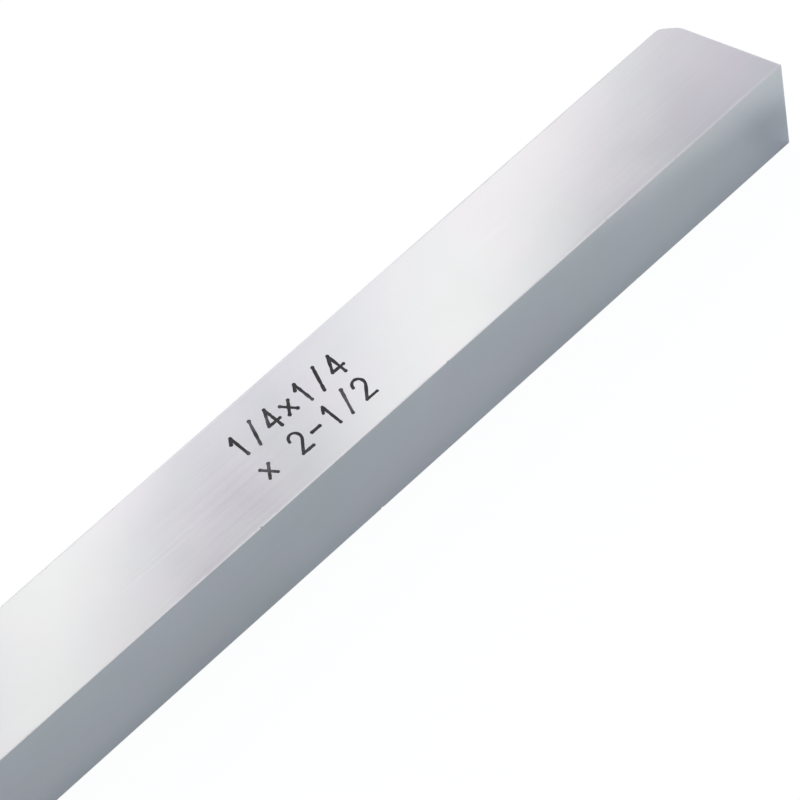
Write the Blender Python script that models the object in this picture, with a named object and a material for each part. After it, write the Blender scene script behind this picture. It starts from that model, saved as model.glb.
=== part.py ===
"""A square tool bit: one ground bar of high-speed steel, parted off on the slant at both ends.

The bar lies on one long face, as it would on a bench. X runs along it, towards the end whose
blunt corner has been ground to a flat, Y runs from the front face to the back face, and Z is up.
The origin is under the middle of the bar, on the face that it rests on. Sizes are in metres and
angles in degrees.
"""

import math
from collections import namedtuple

import bmesh
import bpy
from mathutils import Matrix, Vector

# The bar itself
SIDE = 0.00635  # across the flats of the square section, a quarter of an inch
LENGTH = 0.0635  # from point to point, two and a half inches
END_SLANT = 15.0  # how far each end face is turned from square, seen from above

# The flat on the blunt corner of one end
CORNER_FLAT = 0.00078  # how much of the bar's width the flat takes
CORNER_FLAT_ANGLE = 45.0  # between the flat and the bar's length
CORNER_BLEND = 0.00025  # how far its soft turn into each neighbouring face reaches
CORNER_BLEND_STEPS = 4

# The stoned edges
LONG_EDGE_BREAK = 0.00010  # taken off each face along the four long edges
END_EDGE_BREAK = 0.00006  # taken off each face round the two ends
EDGE_BREAK_STEPS = 3

# Colour and finish of the ground steel
STEEL_COLOUR = (0.56, 0.57, 0.58, 1.0)
STEEL_ROUGHNESS = 0.28

SLANT = math.radians(END_SLANT)
HALF_SIDE = SIDE / 2
HALF_LENGTH = LENGTH / 2

# How much each kind of edge is stoned, as a share of LONG_EDGE_BREAK
LONG = 1.0
END = END_EDGE_BREAK / LONG_EDGE_BREAK
NOT_STONED = 0.0

# A point of the outline seen from above: how its upright edge is stoned, and how the top and
# bottom edges are that lead on to the next point
Point = namedtuple("Point", ["place", "upright", "onward"])


def clear_scene():
    """Start from an empty scene."""
    for obj in list(bpy.data.objects):
        bpy.data.objects.remove(obj, do_unlink=True)


def soft_corner(before, corner, after, onward):
    """Points of the arc that turns a corner softly and touches the faces on both sides of it."""
    back = (before - corner).normalized()
    on = (after - corner).normalized()
    half_angle = back.angle(on) / 2
    centre = corner + (back + on).normalized() * CORNER_BLEND / math.cos(half_angle)
    spoke = corner + back * CORNER_BLEND - centre
    step = (math.pi - 2 * half_angle) / CORNER_BLEND_STEPS
    turns = [Matrix.Rotation(step * count, 2) for count in range(CORNER_BLEND_STEPS + 1)]
    arc = [Point(centre + turn @ spoke, NOT_STONED, END) for turn in turns]
    return arc[:-1] + [arc[-1]._replace(onward=onward)]


def outline():
    """The bit seen from above, anticlockwise from the front left: a parallelogram, because both
    ends are parted off on the same slant, with the blunt corner of the +X end ground to a flat.
    """
    rise = math.tan(SLANT)
    flat_run = CORNER_FLAT / math.tan(math.radians(CORNER_FLAT_ANGLE))
    front_left = Vector((SIDE * rise - HALF_LENGTH, -HALF_SIDE))
    front_right = Vector((HALF_LENGTH, -HALF_SIDE))
    flat_start = Vector((HALF_LENGTH - (SIDE - CORNER_FLAT) * rise, HALF_SIDE - CORNER_FLAT))
    flat_end = Vector((flat_start.x - flat_run, HALF_SIDE))
    back_left = Vector((-HALF_LENGTH, HALF_SIDE))
    return [
        Point(front_left, END, LONG),
        Point(front_right, END, END),
        *soft_corner(front_right, flat_start, flat_end, END),
        *soft_corner(flat_start, flat_end, back_left, LONG),
        Point(back_left, END, END),
    ]


def raise_outline(points):
    """Make the solid that the outline gives at one side's height, its edges weighed for stoning."""
    bm = bmesh.new()
    weight = bm.edges.layers.float.new("bevel_weight_edge")
    lower = [bm.verts.new((point.place.x, point.place.y, 0)) for point in points]
    upper = [bm.verts.new((point.place.x, point.place.y, SIDE)) for point in points]
    bm.faces.new(reversed(lower))
    bm.faces.new(upper)
    for here, point in enumerate(points):
        on = (here + 1) % len(points)
        bm.faces.new((lower[here], lower[on], upper[on], upper[here]))
        bm.edges.get((lower[here], upper[here]))[weight] = point.upright
        bm.edges.get((lower[here], lower[on]))[weight] = point.onward
        bm.edges.get((upper[here], upper[on]))[weight] = point.onward
    return bm


def ground_steel():
    """Bare ground high-speed steel."""
    steel = bpy.data.materials.new("ground_steel")
    steel.use_nodes = True
    shader = steel.node_tree.nodes["Principled BSDF"]
    shader.inputs["Base Color"].default_value = STEEL_COLOUR
    shader.inputs["Metallic"].default_value = 1.0
    shader.inputs["Roughness"].default_value = STEEL_ROUGHNESS
    return steel


def build_tool_bit():
    """The whole bit is one piece of steel."""
    bm = raise_outline(outline())
    mesh = bpy.data.meshes.new("tool_bit")
    bm.to_mesh(mesh)
    bm.free()
    mesh.materials.append(ground_steel())
    bit = bpy.data.objects.new("tool_bit", mesh)
    bpy.context.scene.collection.objects.link(bit)

    stoning = bit.modifiers.new("stoned edges", "BEVEL")
    stoning.limit_method = "WEIGHT"
    stoning.offset_type = "OFFSET"
    stoning.width = LONG_EDGE_BREAK
    stoning.segments = EDGE_BREAK_STEPS
    stoning.use_clamp_overlap = True
    return bit


clear_scene()
build_tool_bit()
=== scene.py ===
"""The looks of a square tool bit: ground faces, stoned edges, cut ends and an etched size mark.

The file is laid out as an add-on. Its property groups hold what a user would change, each piece
has an operator that makes it, and a panel in the 3D view's sidebar lists them. It is run as a
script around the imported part. Sizes are in metres in the part's own frame: X runs along the bar,
Y from its front face to its back face, and Z is up.
"""

import math
from collections import namedtuple

import bmesh
import bpy
from bpy.props import FloatProperty, FloatVectorProperty, IntProperty, PointerProperty, StringProperty
from mathutils import Matrix, Vector


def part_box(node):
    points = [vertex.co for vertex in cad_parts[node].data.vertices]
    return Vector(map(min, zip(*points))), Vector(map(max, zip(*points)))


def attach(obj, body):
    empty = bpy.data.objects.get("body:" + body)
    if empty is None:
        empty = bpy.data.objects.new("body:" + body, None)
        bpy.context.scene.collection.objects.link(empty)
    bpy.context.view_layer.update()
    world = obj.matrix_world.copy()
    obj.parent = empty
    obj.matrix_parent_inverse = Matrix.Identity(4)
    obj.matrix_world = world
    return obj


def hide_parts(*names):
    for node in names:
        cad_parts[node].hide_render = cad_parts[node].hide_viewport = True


bl_info = {
    "name": "Square Tool Bit",
    "version": (1, 0, 0),
    "blender": (4, 5, 0),
    "location": "3D View > Sidebar > Tool Bit",
    "description": "Builds a ground square tool bit with its size mark, and a light tent round it",
    "category": "Object",
}

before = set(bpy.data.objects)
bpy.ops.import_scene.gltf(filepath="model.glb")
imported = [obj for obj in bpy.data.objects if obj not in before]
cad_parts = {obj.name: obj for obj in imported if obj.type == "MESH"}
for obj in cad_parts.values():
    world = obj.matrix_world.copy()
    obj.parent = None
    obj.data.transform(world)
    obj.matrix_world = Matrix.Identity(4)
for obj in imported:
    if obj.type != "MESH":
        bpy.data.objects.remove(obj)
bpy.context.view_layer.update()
BAR_LOW, BAR_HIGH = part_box("tool_bit")
BAR_SIZE = BAR_HIGH - BAR_LOW

MM = 0.001
MICRON = 0.000001
IN_MM = 1 / MM


# What a user would change


def a_length(name, description, default, precision=5):
    """A setting in metres."""
    return FloatProperty(
        name=name, description=description, default=default, precision=precision, unit="LENGTH"
    )


def an_angle(name, description, degrees):
    """An angle, whose default is given in degrees."""
    return FloatProperty(
        name=name, description=description, default=math.radians(degrees), subtype="ANGLE"
    )


def a_colour(name, description, default):
    """A colour."""
    return FloatVectorProperty(
        name=name, description=description, default=default, subtype="COLOR", min=0, max=1
    )


class BarSettings(bpy.types.PropertyGroup):
    """Sizes of the bar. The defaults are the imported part's."""

    side: a_length("Side", "Width and height of the square section", BAR_SIZE.z)
    length: a_length("Length", "Length from point to point", BAR_SIZE.x)
    end_slant: an_angle("End slant", "How far each end face is turned from square, seen from above", 15)
    corner_flat: a_length(
        "Corner flat", "How much of the bar's width the flat on the blunt corner takes", 0.78 * MM
    )
    corner_flat_angle: an_angle("Corner flat angle", "Angle between that flat and the bar's length", 45)
    corner_blend: a_length(
        "Corner blend", "How far the flat's soft turn into each neighbouring face reaches", 0.25 * MM
    )
    long_edge_break: a_length(
        "Long edge break", "What the stone took off each face along the four long edges", 0.10 * MM
    )
    end_edge_break: a_length(
        "End edge break", "What the stone took off each face round the two ends", 0.06 * MM
    )
    nicks: IntProperty(
        name="Nicks", description="Small handling nicks on each long edge", default=9, min=0
    )
    nick_size: a_length("Nick size", "Length of the largest nick", 0.16 * MM)


class MarkSettings(bpy.types.PropertyGroup):
    """The size mark on the top face."""

    upper_row: StringProperty(
        name="Upper row",
        description="Digits, slash, cross, hyphen and space; the row nearer the back face",
        default="1/4x1/4",
    )
    lower_row: StringProperty(
        name="Lower row", description="The row nearer the front face", default="x 2-1/2"
    )
    offset: a_length(
        "Offset", "How far the mark's middle lies from the bar's middle, towards +X", 0.9 * MM
    )
    height: a_length("Figure height", "Height of a figure, to the middle of its strokes", 1.32 * MM)
    width: a_length("Figure width", "Width of a figure, to the middle of its strokes", 0.74 * MM)
    pitch: a_length("Pitch", "From one figure to the next", 1.07 * MM)
    row_gap: a_length("Row spacing", "From the middle of one row to the middle of the other", 2.03 * MM)
    tilt: an_angle("Tilt", "How far the mark was set askew", -1.2)
    stroke: a_length("Stroke", "Width of a stroke where it meets the face", 0.18 * MM)
    unevenness: FloatProperty(
        name="Unevenness",
        description="How much wider and narrower than that a stroke is in places, as a share",
        default=0.16,
        subtype="FACTOR",
        min=0,
        max=0.4,
    )
    depth: a_length("Depth", "How deep a stroke is etched", 0.03 * MM, precision=6)


class FinishSettings(bpy.types.PropertyGroup):
    """Colours of the finishes."""

    steel: a_colour("Ground steel", "Colour of the ground faces", (0.595, 0.598, 0.605))
    stoned: a_colour("Stoned steel", "Colour of the broken edges", (0.60, 0.605, 0.615))
    cut: a_colour("Cut steel", "Colour of the end faces, left by a cutting wheel", (0.50, 0.50, 0.505))
    oxide: a_colour("Oxide", "Colour of the dark etch in the mark", (0.020, 0.019, 0.022))


class StudioSettings(bpy.types.PropertyGroup):
    """The floor, the light tent and the camera."""

    floor: a_colour("Floor", "Colour of the floor", (0.722, 0.822, 0.886))
    tent_radius: a_length("Tent radius", "Size of the round light tent over the bar", 0.2)
    tent_pleats: IntProperty(
        name="Tent pleats",
        description="Soft upright folds in the tent, each a little brighter in its middle",
        default=19,
        min=0,
    )
    azimuth: an_angle("Azimuth", "Where the camera stands: 0 is in front of the bar", -35.794)
    elevation: an_angle("Elevation", "How high the camera stands over the horizon", 53.98)
    roll: an_angle("Roll", "How far the camera is turned about its own axis", -11.431)
    distance: a_length("Distance", "From the camera to the point that it looks at", 0.290821)
    lens: FloatProperty(
        name="Lens", description="Focal length in millimetres on a 36 mm sensor", default=270
    )


# Node trees

NODE_SPACING = 190
# Noise seldom leaves this range, so whatever reads it begins and ends there
NOISE_RANGE = (0.3, 0.7)


def add(tree, kind, inputs=None, **settings):
    """Add a node, set it up, and link or fill its inputs, which are named or counted."""
    node = tree.nodes.new(kind)
    node.location = (NODE_SPACING * len(tree.nodes), 0)
    for name, value in settings.items():
        setattr(node, name, value)
    for key, value in (inputs or {}).items():
        if isinstance(value, bpy.types.NodeSocket):
            tree.links.new(value, node.inputs[key])
        else:
            node.inputs[key].default_value = value
    return node


def calculate(tree, operation, *values):
    """The result of one arithmetic node."""
    return add(tree, "ShaderNodeMath", dict(enumerate(values)), operation=operation).outputs[0]


def product(tree, first, *others):
    """Several values multiplied together."""
    for value in others:
        first = calculate(tree, "MULTIPLY", first, value)
    return first


def weighed_sum(tree, base, *terms):
    """A base with other values added to it, each times its weight."""
    for value, weight in terms:
        base = calculate(tree, "MULTIPLY_ADD", value, weight, base)
    return base


def vector_math(tree, operation, *values):
    """The result of one vector node: a vector, or a number for a length or a dot product."""
    node = add(tree, "ShaderNodeVectorMath", dict(enumerate(values)), operation=operation)
    gives_number = operation in {"LENGTH", "DOT_PRODUCT", "DISTANCE"}
    return node.outputs["Value" if gives_number else "Vector"]


def remap(tree, value, low, high, new_low=0.0, new_high=1.0, soft=True):
    """Move a value from one range to another and hold it there."""
    inputs = {"Value": value, "From Min": low, "From Max": high, "To Min": new_low, "To Max": new_high}
    kind = "SMOOTHSTEP" if soft else "LINEAR"
    return add(tree, "ShaderNodeMapRange", inputs, interpolation_type=kind).outputs["Result"]


def mix_values(tree, factor, first, second):
    """One value where the factor is 0 and the other where it is 1."""
    return add(tree, "ShaderNodeMix", {0: factor, 2: first, 3: second}).outputs[0]


def mix_colours(tree, factor, first, second, **settings):
    """One colour where the factor is 0 and the other, or their blend, where it is 1."""
    node = add(tree, "ShaderNodeMix", {0: factor, 6: first, 7: second}, data_type="RGBA", **settings)
    return node.outputs[2]


def shade(tree, tone, colour, darkest, lightest):
    """A colour setting, times one number where the tone is 0 and another where it is 1."""
    ends = [rgba([min(1.0, times * part) for part in colour]) for times in (darkest, lightest)]
    return mix_colours(tree, tone, *ends)


def noise(tree, vector, scale, detail=2.0, roughness=0.5):
    """Soft noise from 0 to 1, the same each time."""
    inputs = {"Vector": vector, "Scale": scale, "Detail": detail, "Roughness": roughness}
    return add(tree, "ShaderNodeTexNoise", inputs).outputs[0]


def new_group(name, kind, inputs, outputs):
    """A node tree with named sockets. Returns the tree, what it is given and what it gives back."""
    tree = bpy.data.node_groups.new(name, kind)
    for socket_name, socket_type, value in inputs:
        socket = tree.interface.new_socket(socket_name, in_out="INPUT", socket_type=socket_type)
        if value is not None:
            socket.default_value = value
    for socket_name, socket_type in outputs:
        tree.interface.new_socket(socket_name, in_out="OUTPUT", socket_type=socket_type)
    return tree, add(tree, "NodeGroupInput").outputs, add(tree, "NodeGroupOutput").inputs


def with_spaces(inputs):
    """Keyword values by the names of their sockets, which have a space for each _."""
    return {name.replace("_", " "): value for name, value in inputs.items()}


def use_group(tree, build, **inputs):
    """Place a shared group, which is built the first time that a finish asks for it."""
    group = bpy.data.node_groups.get(build.__name__.removesuffix("_group")) or build()
    return add(tree, "ShaderNodeGroup", with_spaces(inputs), node_tree=group).outputs


def rgba(colour):
    """A colour setting as the four numbers that a socket takes."""
    return (*colour, 1.0)


# Effects that several finishes share


def grinding_lines_group():
    """Lines that a grinding wheel leaves along the vector's X, and a few deeper scratches."""
    tree, given, result = new_group(
        "grinding_lines",
        "ShaderNodeTree",
        [
            ("Vector", "NodeSocketVector", None),
            ("Line Spacing", "NodeSocketFloat", 0.05 * MM),
            ("Line Length", "NodeSocketFloat", 12 * MM),
        ],
        [("Lines", "NodeSocketFloat"), ("Scratches", "NodeSocketFloat")],
    )
    spacing = given["Line Spacing"]
    cell = add(tree, "ShaderNodeCombineXYZ", {"X": given["Line Length"], "Y": spacing, "Z": spacing})
    in_cells = vector_math(tree, "DIVIDE", given["Vector"], cell.outputs[0])
    lines = noise(tree, in_cells, 1.0, detail=3.0, roughness=0.6)
    tree.links.new(remap(tree, lines, 0.25, 0.75, soft=False), result["Lines"])
    shorter_and_sparser = (1.7, 0.13, 0.13)
    sparse = vector_math(tree, "MULTIPLY", in_cells, shorter_and_sparser)
    only_the_peaks = (0.66, 0.74)
    scratches = remap(tree, noise(tree, sparse, 1.0, detail=1.0), *only_the_peaks)
    tree.links.new(scratches, result["Scratches"])
    return tree


def tone_clouds_group():
    """Broad soft clouds of tone, such as handling and coolant leave on bare steel."""
    tree, given, result = new_group(
        "tone_clouds",
        "ShaderNodeTree",
        [("Vector", "NodeSocketVector", None), ("Cloud Size", "NodeSocketFloat", 6 * MM)],
        [("Clouds", "NodeSocketFloat")],
    )
    scale = calculate(tree, "DIVIDE", 1.0, given["Cloud Size"])
    clouds = noise(tree, given["Vector"], scale, detail=2.5, roughness=0.45)
    tree.links.new(remap(tree, clouds, *NOISE_RANGE), result["Clouds"])
    return tree


def edge_wear_group():
    """A mask that is 1 on the bar's edges and fades out, raggedly, a short way in on each face."""
    tree, given, result = new_group(
        "edge_wear",
        "ShaderNodeTree",
        [
            ("Vector", "NodeSocketVector", None),
            ("Side", "NodeSocketFloat", BAR_SIZE.z),
            ("Half Length", "NodeSocketFloat", BAR_SIZE.x / 2),
            ("Across The End", "NodeSocketVector", (1.0, 0.0, 0.0)),
            ("Reach", "NodeSocketFloat", 0.15 * MM),
        ],
        [("Wear", "NodeSocketFloat")],
    )
    half = calculate(tree, "MULTIPLY", given["Side"], 0.5)
    place = add(tree, "ShaderNodeSeparateXYZ", {0: given["Vector"]}).outputs
    off_centre = calculate(tree, "ABSOLUTE", place["Y"])
    to_side = calculate(tree, "SUBTRACT", half, off_centre)
    off_middle = calculate(tree, "ABSOLUTE", calculate(tree, "SUBTRACT", place["Z"], half))
    to_top = calculate(tree, "SUBTRACT", half, off_middle)
    along = vector_math(tree, "DOT_PRODUCT", given["Vector"], given["Across The End"])
    to_end = calculate(tree, "SUBTRACT", given["Half Length"], calculate(tree, "ABSOLUTE", along))
    # On a face one of the three distances is nothing, and the middle one is the nearest edge's
    smaller = calculate(tree, "MINIMUM", to_side, to_top)
    larger = calculate(tree, "MAXIMUM", to_side, to_top)
    nearest = calculate(tree, "MAXIMUM", smaller, calculate(tree, "MINIMUM", larger, to_end))
    ragged = noise(tree, given["Vector"], 1 / (0.9 * MM), detail=4.0, roughness=0.6)
    least_and_most = (0.55, 1.2)
    reach = product(tree, given["Reach"], remap(tree, ragged, *NOISE_RANGE, *least_and_most))
    share_of_reach = calculate(tree, "DIVIDE", nearest, reach)
    tree.links.new(remap(tree, share_of_reach, 0.5, 1.0, 1.0, 0.0), result["Wear"])
    return tree


# Finishes

WHEEL_CENTRE = (0.0, -62 * MM, 24 * MM)
OILY_TINT = (0.98, 1.0, 0.995, 1.0)
HANDLED_TINT = (1.015, 0.99, 1.01, 1.0)
SCRATCH_COLOUR = (0.7, 0.7, 0.7, 1.0)


def new_finish(name, with_shader=True):
    """A material, its node tree, and the place on the piece that its patterns read. One for the
    stage starts without the usual shader.
    """
    finish = bpy.data.materials.new(name)
    finish.use_nodes = True
    tree = finish.node_tree
    if not with_shader:
        tree.nodes.clear()
    return finish, tree, add(tree, "ShaderNodeTexCoord").outputs["Object"]


def set_looks(tree, colour, roughness, microns, metallic):
    """Link a finish's colour, its roughness and its height in microns to its shader."""
    bump = add(tree, "ShaderNodeBump", {"Height": microns, "Distance": MICRON, "Strength": 1.0})
    sockets = tree.nodes["Principled BSDF"].inputs
    tree.links.new(colour, sockets["Base Color"])
    tree.links.new(roughness, sockets["Roughness"])
    tree.links.new(bump.outputs["Normal"], sockets["Normal"])
    sockets["Metallic"].default_value = metallic


def bar_edge_wear(tree, place, bar, reach):
    """The edge wear mask, set for this bar, whose end faces lie square to a slanting line."""
    outward = Vector((math.cos(bar.end_slant), math.sin(bar.end_slant), 0))
    wear = use_group(
        tree,
        edge_wear_group,
        Vector=place,
        Side=bar.side,
        Half_Length=outward.dot(Vector((bar.length / 2, -bar.side / 2, 0))),
        Across_The_End=outward,
        Reach=reach,
    )
    return wear["Wear"]


def ground_faces(bar, finishes):
    """The four long faces: surface ground along the bar, with the edges stoned bright."""
    finish, tree, place = new_finish("ground_faces")
    fine = use_group(tree, grinding_lines_group, Vector=place, Line_Spacing=0.06 * MM, Line_Length=14 * MM)
    coarse = use_group(tree, grinding_lines_group, Vector=place, Line_Spacing=0.28 * MM, Line_Length=22 * MM)
    clouds = use_group(tree, tone_clouds_group, Vector=place, Cloud_Size=7 * MM)["Clouds"]
    wear = bar_edge_wear(tree, place, bar, 0.13 * MM)

    tone = weighed_sum(tree, 0.12, (fine["Lines"], 0.18), (coarse["Lines"], 0.18), (clouds, 0.4))
    plain = shade(tree, tone, finishes.steel, 0.935, 1.05)
    # Bare steel takes faint tints where oil and fingers have been
    tints = use_group(tree, tone_clouds_group, Vector=place, Cloud_Size=4.5 * MM)["Clouds"]
    tint = mix_colours(tree, tints, OILY_TINT, HANDLED_TINT)
    ground = mix_colours(tree, 1.0, plain, tint, blend_type="MULTIPLY")
    scratched = mix_colours(tree, product(tree, fine["Scratches"], 0.05), ground, SCRATCH_COLOUR)
    colour = mix_colours(tree, wear, scratched, rgba(finishes.stoned))
    roughness = weighed_sum(
        tree, 0.1275, (fine["Lines"], 0.025), (coarse["Lines"], 0.01), (clouds, 0.03), (wear, 0.06)
    )
    microns = weighed_sum(tree, 0.0, (fine["Lines"], 0.15), (fine["Scratches"], -0.2), (clouds, 3.0))
    set_looks(tree, colour, roughness, microns, metallic=1.0)
    return finish


def cut_ends(bar, finishes):
    """The end faces: parted off by a cutting wheel, whose rim leaves coarse curved lines."""
    finish, tree, place = new_finish("cut_ends")
    from_centre = vector_math(tree, "SUBTRACT", place, WHEEL_CENTRE)
    spoke = vector_math(tree, "MULTIPLY", from_centre, (0.0, 1.0, 1.0))
    from_hub = add(tree, "ShaderNodeSeparateXYZ", {0: spoke}).outputs
    turn = calculate(tree, "ARCTAN2", from_hub["Z"], from_hub["Y"])
    radius = vector_math(tree, "LENGTH", spoke)
    along_the_rim = product(tree, turn, Vector(WHEEL_CENTRE).length)
    unrolled = add(tree, "ShaderNodeCombineXYZ", {"X": along_the_rim, "Y": radius}).outputs[0]
    lines = use_group(tree, grinding_lines_group, Vector=unrolled, Line_Spacing=0.13 * MM, Line_Length=9 * MM)
    clouds = use_group(tree, tone_clouds_group, Vector=place, Cloud_Size=2.2 * MM)["Clouds"]
    wear = bar_edge_wear(tree, place, bar, 0.14 * MM)

    tone = weighed_sum(tree, 0.0, (lines["Lines"], 0.6), (clouds, 0.4))
    cut = shade(tree, tone, finishes.cut, 0.84, 1.12)
    colour = mix_colours(tree, wear, cut, rgba(finishes.stoned))
    roughness = weighed_sum(tree, 0.27, (lines["Lines"], 0.10), (clouds, 0.05), (wear, -0.10))
    microns = weighed_sum(tree, 0.0, (lines["Lines"], 2.2), (lines["Scratches"], -3.0), (clouds, 2.0))
    set_looks(tree, colour, roughness, microns, metallic=1.0)
    return finish


def mark_oxide(finishes):
    """The dark oxide that an electric etch leaves in the strokes, a little patchy."""
    finish, tree, place = new_finish("mark_oxide")
    clouds = use_group(tree, tone_clouds_group, Vector=place, Cloud_Size=1.5 * MM)["Clouds"]
    grain = noise(tree, place, 1 / (0.09 * MM), detail=3.0, roughness=0.65)
    patchy = remap(tree, weighed_sum(tree, 0.0, (clouds, 0.5), (grain, 0.5)), 0.40, 0.78)
    colour = shade(tree, patchy, finishes.oxide, 1.0, 5.0)
    roughness = remap(tree, grain, *NOISE_RANGE, 0.5, 0.8)
    set_looks(tree, colour, roughness, product(tree, grain, 6.0), metallic=0.0)
    return finish


# The bar

# A point of the outline seen from above: how its upright edge is stoned, and how the top and
# bottom edges are that lead on to the next point, as shares of the long edges' break
Point = namedtuple("Point", ["place", "upright", "onward"])

LONG = 1.0
NOT_STONED = 0.0
CORNER_STEPS = 8
EDGE_BREAK_STEPS = 5
# How far a nick may lie from its place along the edge, and how large the smallest one is
NICK_SCATTER = Vector((2.5 * MM, 0.02 * MM, 0.02 * MM))
SMALLEST_NICK = 0.3
NICK_SEED = 7


def soft_corner(before, corner, after, reach, end_share, onward):
    """Points of the arc that turns a corner softly and touches the faces on both sides of it."""
    back = (before - corner).normalized()
    on = (after - corner).normalized()
    half_angle = back.angle(on) / 2
    centre = corner + (back + on).normalized() * reach / math.cos(half_angle)
    spoke = corner + back * reach - centre
    step = (math.pi - 2 * half_angle) / CORNER_STEPS
    turns = [Matrix.Rotation(step * count, 2) for count in range(CORNER_STEPS + 1)]
    arc = [Point(centre + turn @ spoke, NOT_STONED, end_share) for turn in turns]
    return arc[:-1] + [arc[-1]._replace(onward=onward)]


def bar_outline(bar):
    """The bar seen from above, anticlockwise from the front left: a parallelogram, because both
    ends are parted off on the same slant, with the blunt corner of the +X end ground to a flat.
    """
    rise = math.tan(bar.end_slant)
    end = bar.end_edge_break / bar.long_edge_break
    half_side = bar.side / 2
    half_length = bar.length / 2
    flat_run = bar.corner_flat / math.tan(bar.corner_flat_angle)
    front_left = Vector((bar.side * rise - half_length, -half_side))
    front_right = Vector((half_length, -half_side))
    flat_start = Vector((half_length - (bar.side - bar.corner_flat) * rise, half_side - bar.corner_flat))
    flat_end = Vector((flat_start.x - flat_run, half_side))
    back_left = Vector((-half_length, half_side))
    return [
        Point(front_left, end, LONG),
        Point(front_right, end, end),
        *soft_corner(front_right, flat_start, flat_end, bar.corner_blend, end, end),
        *soft_corner(flat_start, flat_end, back_left, bar.corner_blend, end, LONG),
        Point(back_left, end, end),
    ]


def raise_bar(points, side):
    """The solid that the outline gives at one side's height, its edges weighed for stoning. Its
    two end faces, and what the corner flat adds to one of them, take the second finish.
    """
    bm = bmesh.new()
    weight = bm.edges.layers.float.new("bevel_weight_edge")
    lower = [bm.verts.new((point.place.x, point.place.y, 0)) for point in points]
    upper = [bm.verts.new((point.place.x, point.place.y, side)) for point in points]
    bm.faces.new(reversed(lower))
    bm.faces.new(upper)
    for here, point in enumerate(points):
        on = (here + 1) % len(points)
        wall = bm.faces.new((lower[here], lower[on], upper[on], upper[here]))
        wall.material_index = 0 if point.onward == LONG else 1
        bm.edges.get((lower[here], upper[here]))[weight] = point.upright
        bm.edges.get((lower[here], lower[on]))[weight] = point.onward
        bm.edges.get((upper[here], upper[on]))[weight] = point.onward
    return bm


def put_out(tree, geometry, finish, socket):
    """End a geometry tree: real shapes with their finish, at the tree's own output socket."""
    real = add(tree, "GeometryNodeRealizeInstances", {"Geometry": geometry})
    finished = add(tree, "GeometryNodeSetMaterial", {"Geometry": real.outputs[0], "Material": finish})
    tree.links.new(finished.outputs["Geometry"], socket)


def random_vector(tree, low, high, seed):
    """A vector for each point, drawn between two others."""
    node = add(tree, "FunctionNodeRandomValue", {0: low, 1: high, "Seed": seed}, data_type="FLOAT_VECTOR")
    return node.outputs[0]


def edge_nicks_tree():
    """Geometry nodes that strew small rough grains along the edges, to be cut out of the bar."""
    tree, given, result = new_group(
        "edge_nicks",
        "GeometryNodeTree",
        [
            ("Edges", "NodeSocketGeometry", None),
            ("Count", "NodeSocketInt", 10),
            ("Smallest", "NodeSocketFloat", 0.05 * MM),
            ("Largest", "NodeSocketFloat", 0.15 * MM),
            ("Seed", "NodeSocketInt", 1),
            ("Finish", "NodeSocketMaterial", None),
        ],
        [("Grains", "NodeSocketGeometry")],
    )
    seed = given["Seed"]
    along = add(tree, "GeometryNodeCurveToPoints", {"Curve": given["Edges"], "Count": given["Count"]})
    shuffle = random_vector(tree, -NICK_SCATTER, NICK_SCATTER, seed)
    strewn = add(
        tree, "GeometryNodeSetPosition", {"Geometry": along.outputs["Points"], "Offset": shuffle}
    )
    grain = add(tree, "GeometryNodeMeshIcoSphere", {"Radius": 0.5, "Subdivisions": 1})
    turn = random_vector(tree, (0, 0, 0), (math.tau, math.tau, math.tau), seed)
    size = add(
        tree,
        "FunctionNodeRandomValue",
        {2: given["Smallest"], 3: given["Largest"], "Seed": seed},
        data_type="FLOAT",
    )
    grains = add(
        tree,
        "GeometryNodeInstanceOnPoints",
        {
            "Points": strewn.outputs["Geometry"],
            "Instance": grain.outputs["Mesh"],
            "Rotation": turn,
            "Scale": size.outputs[1],
        },
    )
    put_out(tree, grains.outputs["Instances"], given["Finish"], result["Grains"])
    return tree


# Sizes of the mark's strokes, where they aren't settings
STROKE_SIDES = 12
BALL_RINGS = 7
STATION_SPACING = 0.13 * MM
WAVE_LENGTH = 0.28 * MM
# How many times as wide as its stroke a ball is
END_SWELL = 1.2
# How much less deep each stroke of a figure is than the one before it
STROKE_LIFT = 0.7 * MICRON
# How far the oxide reaches into the steel round it, and how far it lies below the face, as a share
# of the strokes' depth
OXIDE_OVERLAP = 3 * MICRON
OXIDE_SUNK = 0.2


def transform(tree, geometry, **how):
    """Geometry that is moved, turned or scaled."""
    return add(tree, "GeometryNodeTransform", {"Geometry": geometry, **how}).outputs["Geometry"]


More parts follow.
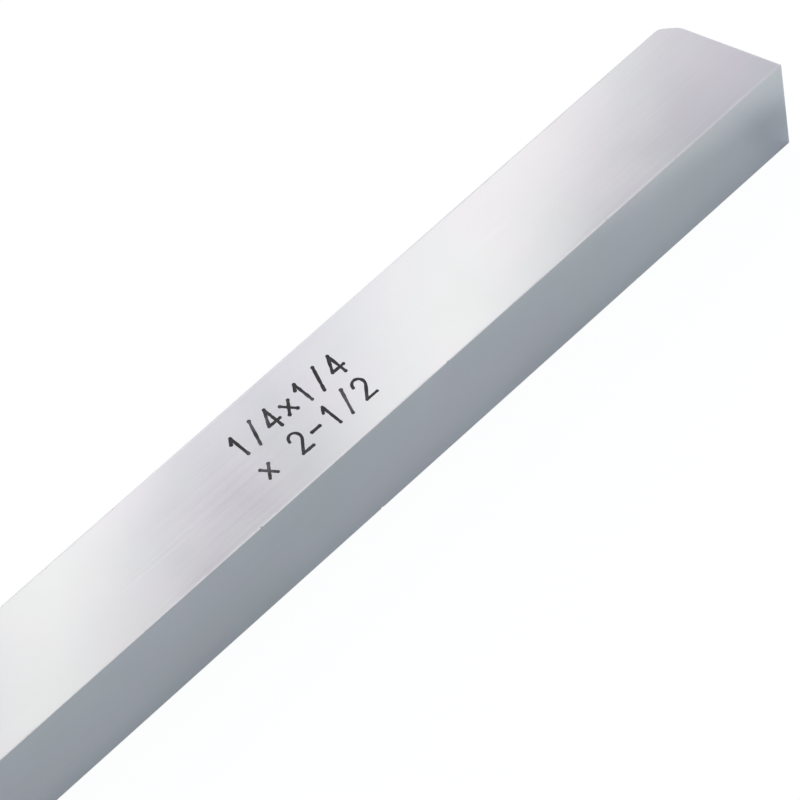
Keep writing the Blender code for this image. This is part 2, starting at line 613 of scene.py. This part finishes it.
def strokes_tree():
    """Geometry nodes that draw round-ended strokes along the mark's paths.

    A stroke is a tube with a ball at each end, flattened to the depth. Loose strokes are left as
    they are, to cut with. Others become one closed shape with a flat top at Cut Off, which is
    measured from the face.
    """
    tree, given, result = new_group(
        "mark_strokes",
        "GeometryNodeTree",
        [
            ("Paths", "NodeSocketGeometry", None),
            ("Stroke", "NodeSocketFloat", 0.16 * MM),
            ("Ends", "NodeSocketFloat", 0.18 * MM),
            ("Unevenness", "NodeSocketFloat", 0.1),
            ("Depth", "NodeSocketFloat", 0.03 * MM),
            ("Loose", "NodeSocketBool", False),
            ("Cut Off", "NodeSocketFloat", 0.0),
            ("Face Height", "NodeSocketFloat", BAR_SIZE.z),
            ("Finish", "NodeSocketMaterial", None),
        ],
        [("Strokes", "NodeSocketGeometry")],
    )
    stations = add(
        tree,
        "GeometryNodeResampleCurve",
        {"Curve": given["Paths"], "Length": STATION_SPACING},
        mode="LENGTH",
    )
    wavy = noise(tree, add(tree, "GeometryNodeInputPosition").outputs[0], 1 / WAVE_LENGTH, detail=1.0)
    narrow = calculate(tree, "SUBTRACT", 1.0, given["Unevenness"])
    wide = calculate(tree, "ADD", 1.0, given["Unevenness"])
    uneven = remap(tree, wavy, *NOISE_RANGE, narrow, wide)
    radius = product(tree, given["Stroke"], 0.5)
    circle = add(
        tree, "GeometryNodeCurvePrimitiveCircle", {"Resolution": STROKE_SIDES, "Radius": radius}
    )
    # Turned by half a side, and with an odd number of rings, nothing lies in the face itself
    section = transform(tree, circle.outputs["Curve"], Rotation=(0, 0, math.pi / STROKE_SIDES))
    tubes = add(
        tree,
        "GeometryNodeCurveToMesh",
        {
            "Curve": stations.outputs["Curve"],
            "Profile Curve": section,
            "Scale": uneven,
            "Fill Caps": True,
        },
    )
    end_radius = product(tree, given["Ends"], 0.5)
    ball = add(
        tree,
        "GeometryNodeMeshUVSphere",
        {"Segments": STROKE_SIDES, "Rings": BALL_RINGS, "Radius": end_radius},
    )
    at_ends = add(tree, "GeometryNodeCurveEndpointSelection")
    ends = add(
        tree,
        "GeometryNodeSeparateGeometry",
        {"Geometry": given["Paths"], "Selection": at_ends.outputs["Selection"]},
        domain="POINT",
    )
    end_points = add(
        tree, "GeometryNodeCurveToPoints", {"Curve": ends.outputs["Selection"]}, mode="EVALUATED"
    )
    # Strokes that meet share one ball
    single = add(
        tree, "GeometryNodeMergeByDistance", {"Geometry": end_points.outputs["Points"], "Distance": MICRON}
    )
    balls = add(
        tree,
        "GeometryNodeInstanceOnPoints",
        {"Points": single.outputs["Geometry"], "Instance": ball.outputs["Mesh"], "Scale": uneven},
    )
    real = add(tree, "GeometryNodeRealizeInstances", {"Geometry": balls.outputs["Instances"]})
    together = add(tree, "GeometryNodeJoinGeometry")
    for shape in (tubes.outputs["Mesh"], real.outputs["Geometry"]):
        tree.links.new(shape, together.inputs[0])
    # The shapes are joined and cut off in millimetres: in metres they are too small for the solver
    flatness = calculate(tree, "DIVIDE", given["Depth"], radius)
    squeeze = add(
        tree, "ShaderNodeCombineXYZ", {"X": IN_MM, "Y": IN_MM, "Z": product(tree, flatness, IN_MM)}
    )
    flat = transform(tree, together.outputs["Geometry"], Scale=squeeze.outputs[0])
    slab_size = Vector((40.0, 40.0, 1.0))
    slab = add(tree, "GeometryNodeMeshCube", {"Size": slab_size})
    slab_top = product(tree, given["Cut Off"], IN_MM)
    slab_middle = calculate(tree, "SUBTRACT", slab_top, slab_size.z / 2)
    sink = add(tree, "ShaderNodeCombineXYZ", {"Z": slab_middle})
    lowered = transform(tree, slab.outputs["Mesh"], Translation=sink.outputs[0])
    kept = add(
        tree, "GeometryNodeMeshBoolean", {"Self Intersection": True}, operation="INTERSECT", solver="EXACT"
    )
    for shape in (flat, lowered):
        tree.links.new(shape, kept.inputs["Mesh 2"])
    wanted = add(
        tree,
        "GeometryNodeSwitch",
        {"Switch": given["Loose"], "False": kept.outputs["Mesh"], "True": flat},
        input_type="GEOMETRY",
    )
    lift = add(tree, "ShaderNodeCombineXYZ", {"Z": given["Face Height"]})
    placed = transform(
        tree, wanted.outputs["Output"], Scale=(MM, MM, MM), Translation=lift.outputs[0]
    )
    put_out(tree, placed, given["Finish"], result["Strokes"])
    return tree


def run_tree(obj, tree, **inputs):
    """Run a geometry nodes tree on an object and return what it makes, as a plain mesh."""
    nodes = obj.modifiers.new(tree.name, "NODES")
    nodes.node_group = tree
    wanted = with_spaces(inputs)
    for item in tree.interface.items_tree:
        if item.item_type == "SOCKET" and item.in_out == "INPUT" and item.name in wanted:
            nodes[item.identifier] = wanted[item.name]
    return evaluated_mesh(obj)


def evaluated_mesh(obj):
    """The object's mesh with its modifiers applied, as new data."""
    depsgraph = bpy.context.evaluated_depsgraph_get()
    depsgraph.update()
    return bpy.data.meshes.new_from_object(obj.evaluated_get(depsgraph))


def new_object(name, data):
    """An object in the scene for a mesh, a curve or a camera."""
    obj = bpy.data.objects.new(name, data)
    bpy.context.scene.collection.objects.link(obj)
    return obj


def object_from(name, bm, *finishes):
    """An object in the scene for a mesh that is ready, with its finishes."""
    mesh = bpy.data.meshes.new(name)
    bm.to_mesh(mesh)
    bm.free()
    for finish in finishes:
        mesh.materials.append(finish)
    return new_object(name, mesh)


def remove(obj):
    """Take a helper out of the file."""
    bpy.data.objects.remove(obj, do_unlink=True)


def made_by_nodes(name, paths, tree, **inputs):
    """An object whose plain mesh a geometry nodes tree makes from lists of points."""
    curve = bpy.data.curves.new(name + ".paths", "CURVE")
    curve.dimensions = "3D"
    for path in paths:
        spline = curve.splines.new("POLY")
        spline.points.add(len(path) - 1)
        for point, place in zip(spline.points, path):
            point.co = (*place, 1.0)
    source = new_object(name + ".paths", curve)
    mesh = run_tree(source, tree, **inputs)
    remove(source)
    mesh.name = name
    return new_object(name, mesh)


def long_edges(bar):
    """The four long edges as paths, each kept clear of the ends."""
    clear = bar.side
    ends = (clear - bar.length / 2, bar.length / 2 - clear)
    return [
        [(x, y, z) for x in ends]
        for y in (-bar.side / 2, bar.side / 2)
        for z in (0, bar.side)
    ]


def stone_edges(piece, bar):
    """Round the weighed edges over, and join the corners that then fall together."""
    stoning = piece.modifiers.new("stoned edges", "BEVEL")
    stoning.limit_method = "WEIGHT"
    stoning.offset_type = "OFFSET"
    stoning.width = bar.long_edge_break
    stoning.segments = EDGE_BREAK_STEPS
    stoning.use_clamp_overlap = True
    mesh = evaluated_mesh(piece)
    piece.modifiers.clear()
    bm = bmesh.new()
    bm.from_mesh(mesh)
    bmesh.ops.remove_doubles(bm, verts=bm.verts, dist=0.5 * MICRON)
    for vert in bm.verts:
        vert.co.y = max(-bar.side / 2, min(bar.side / 2, vert.co.y))
    bm.to_mesh(mesh)
    bm.free()
    piece.data = mesh


def cut_with(obj, *shapes):
    """Cut closed shapes out of an object in one go, and keep its own finish in the cuts. The work is
    done in millimetres, because in metres the cuts are too small for the solver.
    """
    bm = bmesh.new()
    for shape in shapes:
        bm.from_mesh(shape.data)
        remove(shape)
    cutter = object_from("cutter", bm)
    for part in (obj, cutter):
        part.data.transform(Matrix.Scale(IN_MM, 4))
    cut = obj.modifiers.new("cuts", "BOOLEAN")
    cut.operation = "DIFFERENCE"
    cut.solver = "EXACT"
    cut.use_self = True
    cut.object = cutter
    mesh = evaluated_mesh(obj)
    mesh.transform(Matrix.Scale(MM, 4))
    obj.modifiers.clear()
    obj.data = mesh
    remove(cutter)


# The mark

# Strokes of each figure in a cell one wide and one high
FLAG_OF_ONE = ((0.24, 0.76), (0.54, 1.0))
STEM_OF_ONE = ((0.54, 1.0), (0.54, 0.0))
BASE_OF_TWO = ((0.05, 0.0), (0.96, 0.0))


def bow_of_two(steps=10):
    """The round top of a two, which runs out into its straight slope down to the base."""
    start, end = math.radians(172), math.radians(-38)
    turns = [start + (end - start) * step / steps for step in range(steps + 1)]
    bow = [(0.5 + 0.44 * math.cos(turn), 0.72 + 0.28 * math.sin(turn)) for turn in turns]
    return [*bow, BASE_OF_TWO[0]]


FIGURES = {
    "1": (FLAG_OF_ONE, STEM_OF_ONE),
    "2": (bow_of_two(), BASE_OF_TWO),
    "4": (((0.70, 1.0), (0.02, 0.30)), ((0.02, 0.30), (1.0, 0.30)), ((0.70, 1.0), (0.70, 0.0))),
    "/": (((0.14, -0.04), (0.86, 1.04)),),
    "x": (((0.14, 0.12), (0.86, 0.66)), ((0.14, 0.66), (0.86, 0.12))),
    "-": (((0.16, 0.46), (0.84, 0.46)),),
    " ": (),
}


def mark_paths(mark):
    """The strokes of both rows, laid out round the mark's middle and set askew as a whole. Each
    stroke of a figure is etched a little less deep than the one before, so where two of them cross
    their floors don't lie in one plane.
    """
    rows = ((mark.upper_row, mark.row_gap / 2), (mark.lower_row, -mark.row_gap / 2))
    askew = Matrix.Rotation(mark.tilt, 3, "Z")
    longest = max(len(text) for text, _ in rows)
    first = -(longest - 1) * mark.pitch / 2
    paths = []
    for text, middle in rows:
        for count, figure in enumerate(text):
            left = first + count * mark.pitch - mark.width / 2
            foot = middle - mark.height / 2
            for turn, stroke in enumerate(FIGURES[figure]):
                lift = turn * STROKE_LIFT
                places = [Vector((left + x * mark.width, foot + y * mark.height, lift)) for x, y in stroke]
                paths.append([askew @ place + Vector((mark.offset, 0, 0)) for place in places])
    return paths


def mark_shape(name, bar, mark, finish, grow=0.0, loose=False, cut_off=0.0):
    """The mark's strokes, each way larger by grow."""
    tree = bpy.data.node_groups.get("mark_strokes") or strokes_tree()
    return made_by_nodes(
        name,
        mark_paths(mark),
        tree,
        Stroke=mark.stroke + 2 * grow,
        Ends=END_SWELL * mark.stroke + 2 * grow,
        Unevenness=mark.unevenness,
        Depth=mark.depth + grow,
        Loose=loose,
        Cut_Off=cut_off,
        Face_Height=bar.side,
        Finish=finish,
    )


# Operators


class TOOLBIT_OT_ground_bar(bpy.types.Operator):
    """Make the bar: ground faces, stoned edges, cut ends and the etched strokes' hollows"""

    bl_idname = "tool_bit.ground_bar"
    bl_label = "Ground Bar"

    def execute(self, context):
        bar = context.scene.tool_bit_bar
        mark = context.scene.tool_bit_mark
        finishes = context.scene.tool_bit_finishes
        steel = ground_faces(bar, finishes)

        blank = raise_bar(bar_outline(bar), bar.side)
        piece = object_from("ground_bar", blank, steel, cut_ends(bar, finishes))
        stone_edges(piece, bar)

        hollows = mark_shape("mark_hollows", bar, mark, steel, loose=True)
        nicks = made_by_nodes(
            "nicks",
            long_edges(bar),
            edge_nicks_tree(),
            Count=bar.nicks,
            Smallest=SMALLEST_NICK * bar.nick_size,
            Largest=bar.nick_size,
            Seed=NICK_SEED,
            Finish=steel,
        )
        cut_with(piece, hollows, nicks)
        piece.data.name = "ground_bar"

        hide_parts("tool_bit")
        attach(piece, "root")
        return {"FINISHED"}


class TOOLBIT_OT_size_mark(bpy.types.Operator):
    """Lay the dark oxide in the etched strokes, just below the face"""

    bl_idname = "tool_bit.size_mark"
    bl_label = "Size Mark"

    def execute(self, context):
        bar = context.scene.tool_bit_bar
        mark = context.scene.tool_bit_mark
        oxide = mark_oxide(context.scene.tool_bit_finishes)
        below_the_face = -OXIDE_SUNK * mark.depth
        piece = mark_shape("size_mark", bar, mark, oxide, grow=OXIDE_OVERLAP, cut_off=below_the_face)
        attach(piece, "root")
        return {"FINISHED"}


FLOOR_HALF_WIDTH = 1.5
FLOOR_GRAIN = 30 * MM
# The floor's white light, and how much of what the camera sees there is that light
WHITE_LIGHT = 1.06
WHITE_SHARE = 0.88
# What the steel reflects of the floor, with the painted light and shade that only the steel sees. Places
# are measured from the foot of the bar's upright front edge at +X, and a fade is where a change begins and
# where it ends
PAINTED_SHADE_PATCH = (0.3 * MM, -1.6 * MM, 0)
PAINTED_SHADE_PATCH_FADE = (0.3 * MM, 2.2 * MM)
PAINTED_SHADE_PATCH_DEPTH = 0.15
PAINTED_SHADOW_EDGE_TURN = math.radians(-82.6)
PAINTED_SHADOW_EDGE_FADE = (1.9 * MM, 4.2 * MM)
PAINTED_LIGHT_BEYOND_EDGE = 0.5
PAINTED_CORNER_SHADE_FADE = (-3.5 * MM, 0.5 * MM)
CORNER_WHITE = 0.14
PAINTED_BAR_SHADOW_FADE = (-1.0 * MM, 0.0)
WHITE_IN_PAINTED_BAR_SHADOW = 0.5


def floor_finish(studio, bar):
    """A pale floor. The camera sees it as the white ground, with a little of the bar's shadow. What
    the steel reflects of it has painted light and shade: more white past a painted shadow edge that
    runs out from the front of the bar's +X end, and painted shade in a patch close to that end.
    """
    finish, tree, place = new_finish("floor", with_shader=False)
    ray = add(tree, "ShaderNodeLightPath").outputs
    grain = noise(tree, place, 1 / FLOOR_GRAIN, detail=3.0)
    colour = shade(tree, grain, studio.floor, 0.97, 1.0)
    white = add(tree, "ShaderNodeEmission", {"Color": (1, 1, 1, 1), "Strength": WHITE_LIGHT}).outputs[0]
    seen = calculate(tree, "MAXIMUM", ray["Is Camera Ray"], ray["Is Transmission Ray"])
    from_corner = vector_math(tree, "SUBTRACT", place, Vector((bar.length / 2, -bar.side / 2, 0)))
    # Painted shade: the floor's colour, as the steel sees it, is darkened in a patch close to the +X end
    off_the_painted_shade = vector_math(tree, "DISTANCE", from_corner, PAINTED_SHADE_PATCH)
    painted_shade = remap(tree, off_the_painted_shade, *PAINTED_SHADE_PATCH_FADE, PAINTED_SHADE_PATCH_DEPTH, 0.0)
    floor_with_painted_shade = mix_colours(tree, product(tree, ray["Is Glossy Ray"], painted_shade), colour, (0, 0, 0, 1))
    matt = add(tree, "ShaderNodeBsdfDiffuse", {"Color": floor_with_painted_shade}).outputs[0]
    # Painted light: past a painted shadow edge that runs out from the front of the +X end, the steel sees
    # more of the floor's white
    outward = (math.cos(PAINTED_SHADOW_EDGE_TURN), math.sin(PAINTED_SHADOW_EDGE_TURN), 0)
    off_the_painted_shadow_edge = vector_math(tree, "DOT_PRODUCT", from_corner, outward)
    painted_light_beyond_edge = remap(tree, off_the_painted_shadow_edge, *PAINTED_SHADOW_EDGE_FADE, 0.0, PAINTED_LIGHT_BEYOND_EDGE, soft=False)
    # Painted shade: the steel sees less of the floor's white by the corner, where more light falls on it, and
    # in a painted shadow close in front of the bar
    corner_place = add(tree, "ShaderNodeSeparateXYZ", {0: from_corner}).outputs
    white_less_painted_corner_shade = remap(tree, corner_place["X"], *PAINTED_CORNER_SHADE_FADE, CORNER_WHITE, 0.0)
    painted_bar_shadow = remap(tree, corner_place["Y"], *PAINTED_BAR_SHADOW_FADE, 1.0, WHITE_IN_PAINTED_BAR_SHADOW, soft=False)
    white_with_painted_light = calculate(tree, "ADD", white_less_painted_corner_shade, painted_light_beyond_edge)
    reflected_with_painted_light = product(tree, white_with_painted_light, painted_bar_shadow, ray["Is Glossy Ray"])
    share = weighed_sum(tree, reflected_with_painted_light, (seen, WHITE_SHARE))
    shown = add(tree, "ShaderNodeMixShader", {0: share, 1: matt, 2: white}).outputs[0]
    add(tree, "ShaderNodeOutputMaterial", {"Surface": shown})
    return finish


# The tent's cloth. A place is in degrees, of azimuth from +X, of elevation, or across the slanting
# pleats, but the pleats' tops are shares of the tent's radius. A pair is where a fade begins and
# where it ends, or the two tones there. A tone is a share of the cloth's brightness, but the panel's
# are on the pleats' own scale, from -1 in a valley to 1 on a crest
TENT_BACK = 47.6
FRONT_AND_BACK_TONES = (0.55, 1.27)
RING_FADE = (61, 70)
RING_TONE = 0.6
OVERHEAD_FADE = (73, 84)
OVERHEAD_TONE = 0.95
PLEAT_SLANT = -0.48
PLEAT_TOPS = (0.87, 0.94)
PLEAT_SWING = 0.42
BRIGHTEST_PLEAT = 22.4
LAST_PLEAT = (17.7, 21.1)
PANEL_RIGHT_EDGE = (-66, -56)
PANEL_FOOT = (24, 34)
PANEL_DIMMEST = (48, 51)
PANEL_TONES = (-0.65, -1.15)
PANEL_TO_PLEATS = (-12, 22)
FOLD_SLANT = -0.33
FOLD_FOOT = (43.2, 45.4)
FOLD_TONES = (1.54, 0.75)
FOLD_RIGHT_EDGE = (25.5, 29.5)
FOLD_LEFT_EDGE = (36.0, 41.0)
FOLD_BEGINS = (45, 51)
VALLEY_TINT = (0.99, 0.955, 1.06, 1.0)
CREST_TINT = (1.0, 0.999, 0.969, 1.0)
TOP_TINT = (1.0, 0.985, 0.99, 1.0)


def fade(tree, angle, degrees, first=0.0, second=1.0):
    """From the first value to the second between two angles."""
    start, end = degrees
    return remap(tree, angle, math.radians(start), math.radians(end), first, second)


def tent_finish(studio):
    """The lit cloth of the tent: brighter at the back than at the camera's side, with a dim ring round
    its even top. It hangs in soft slanting pleats, and beyond the last of them, on the right, is a dim
    panel.
    """
    finish, tree, place = new_finish("tent", with_shader=False)
    xyz = add(tree, "ShaderNodeSeparateXYZ", {0: place}).outputs
    azimuth = calculate(tree, "ARCTAN2", xyz["Y"], xyz["X"])
    height = calculate(tree, "DIVIDE", xyz["Z"], studio.tent_radius)
    elevation = calculate(tree, "ARCSINE", height)

    off_the_back = calculate(tree, "SUBTRACT", azimuth, math.radians(TENT_BACK))
    to_the_back = calculate(tree, "COSINE", off_the_back)
    general = remap(tree, to_the_back, -1.0, 1.0, *FRONT_AND_BACK_TONES, soft=False)
    sides = product(tree, general, fade(tree, elevation, RING_FADE, 1.0, RING_TONE))
    cloth = mix_values(tree, fade(tree, elevation, OVERHEAD_FADE), sides, OVERHEAD_TONE)

    across = weighed_sum(tree, azimuth, (elevation, PLEAT_SLANT))
    from_brightest = calculate(tree, "SUBTRACT", across, math.radians(BRIGHTEST_PLEAT))
    pleat = calculate(tree, "COSINE", product(tree, from_brightest, studio.tent_pleats))
    past_the_last = fade(tree, across, LAST_PLEAT, 1.0, 0.0)
    to_the_right = fade(tree, azimuth, PANEL_RIGHT_EDGE)
    panel = product(tree, to_the_right, fade(tree, elevation, PANEL_FOOT), past_the_last)
    dimmest = fade(tree, elevation, PANEL_DIMMEST, *PANEL_TONES)
    panel_tone = product(tree, dimmest, fade(tree, azimuth, PANEL_TO_PLEATS))
    pleated = remap(tree, height, *PLEAT_TOPS, 1.0, 0.0)
    fold = mix_values(tree, panel, pleat, panel_tone)
    swing = weighed_sum(tree, 1.0, (product(tree, fold, pleated), PLEAT_SWING))

    # The dark fold on the left is drawn in above and opens towards its foot
    up_the_fold = weighed_sum(tree, elevation, (across, FOLD_SLANT))
    open_foot = fade(tree, up_the_fold, FOLD_FOOT, *FOLD_TONES)
    from_the_right = fade(tree, across, FOLD_RIGHT_EDGE)
    across_it = product(tree, from_the_right, fade(tree, across, FOLD_LEFT_EDGE, 1.0, 0.0))
    up_it = product(tree, fade(tree, elevation, FOLD_BEGINS), pleated)
    opened = mix_values(tree, product(tree, across_it, up_it), 1.0, open_foot)

    tinted = mix_colours(tree, remap(tree, fold, -1.0, 0.8), VALLEY_TINT, CREST_TINT)
    colour = mix_colours(tree, pleated, TOP_TINT, tinted)
    strength = product(tree, cloth, swing, opened)
    light = add(tree, "ShaderNodeEmission", {"Color": colour, "Strength": strength})
    add(tree, "ShaderNodeOutputMaterial", {"Surface": light.outputs[0]})
    return finish


def stage_floor(studio, bar):
    """A large flat floor that the bar lies on."""
    bm = bmesh.new()
    bmesh.ops.create_grid(bm, x_segments=8, y_segments=8, size=FLOOR_HALF_WIDTH)
    object_from("floor", bm, floor_finish(studio, bar))


def light_tent(studio):
    """The upper half of a ball of lit cloth round the bar. The camera looks through it."""
    bm = bmesh.new()
    bmesh.ops.create_uvsphere(bm, u_segments=64, v_segments=32, radius=studio.tent_radius)
    everything = list(bm.verts) + list(bm.edges) + list(bm.faces)
    bmesh.ops.bisect_plane(bm, geom=everything, plane_co=(0, 0, 0), plane_no=(0, 0, -1), clear_outer=True)
    tent = object_from("light_tent", bm, tent_finish(studio))
    tent.visible_camera = False


def white_world():
    """Plain white all round, behind the floor's edge."""
    world = bpy.data.worlds.new("studio")
    bpy.context.scene.world = world
    world.use_nodes = True
    background = world.node_tree.nodes["Background"]
    background.inputs["Color"].default_value = (1, 1, 1, 1)
    background.inputs["Strength"].default_value = 1.0


def photo_camera(studio, bar):
    """The camera, at the photograph's viewing angle."""
    data = bpy.data.cameras.new("camera")
    data.lens = studio.lens
    data.sensor_width = 36
    data.clip_start = 0.01
    data.clip_end = 10
    camera = new_object("camera", data)
    level = math.cos(studio.elevation)
    back = Vector(
        (math.sin(studio.azimuth) * level, -math.cos(studio.azimuth) * level, math.sin(studio.elevation))
    )
    level_right = Vector((math.cos(studio.azimuth), math.sin(studio.azimuth), 0))
    right = Matrix.Rotation(studio.roll, 3, back) @ level_right
    up = back.cross(right)
    looked_at = Vector((4.75 * MM, -2.993 * MM, bar.side))
    axes = Matrix((right, up, back)).transposed().to_4x4()
    camera.matrix_world = Matrix.Translation(looked_at + back * studio.distance) @ axes
    bpy.context.scene.camera = camera


class TOOLBIT_OT_stage(bpy.types.Operator):
    """Set up the floor, the light tent, the white surroundings and the camera"""

    bl_idname = "tool_bit.stage"
    bl_label = "Stage"

    def execute(self, context):
        bar = context.scene.tool_bit_bar
        studio = context.scene.tool_bit_studio
        context.scene.view_settings.view_transform = "Standard"
        stage_floor(studio, bar)
        light_tent(studio)
        white_world()
        photo_camera(studio, bar)
        return {"FINISHED"}


class TOOLBIT_PT_panel(bpy.types.Panel):
    """Lists the settings and the operators, in the order in which they run"""

    bl_label = "Tool Bit"
    bl_idname = "TOOLBIT_PT_panel"
    bl_space_type = "VIEW_3D"
    bl_region_type = "UI"
    bl_category = "Tool Bit"

    def draw(self, context):
        for label, name, operator in STEPS:
            box = self.layout.box()
            box.label(text=label)
            settings = getattr(context.scene, name)
            for setting in settings.bl_rna.properties:
                if setting.is_runtime:
                    box.prop(settings, setting.identifier)
            if operator:
                box.operator(operator)


STEPS = (
    ("Bar", "tool_bit_bar", "tool_bit.ground_bar"),
    ("Mark", "tool_bit_mark", "tool_bit.size_mark"),
    ("Finishes", "tool_bit_finishes", None),
    ("Studio", "tool_bit_studio", "tool_bit.stage"),
)
SETTINGS = {
    "tool_bit_bar": BarSettings,
    "tool_bit_mark": MarkSettings,
    "tool_bit_finishes": FinishSettings,
    "tool_bit_studio": StudioSettings,
}
CLASSES = (
    *SETTINGS.values(),
    TOOLBIT_OT_ground_bar,
    TOOLBIT_OT_size_mark,
    TOOLBIT_OT_stage,
    TOOLBIT_PT_panel,
)


def register():
    for cls in CLASSES:
        bpy.utils.register_class(cls)
    for name, cls in SETTINGS.items():
        setattr(bpy.types.Scene, name, PointerProperty(type=cls))


def unregister():
    for name in SETTINGS:
        delattr(bpy.types.Scene, name)
    for cls in reversed(CLASSES):
        bpy.utils.unregister_class(cls)


def main():
    """Build everything in order."""
    register()
    bpy.ops.tool_bit.ground_bar()
    bpy.ops.tool_bit.size_mark()
    bpy.ops.tool_bit.stage()


if __name__ == "__main__":
    main()
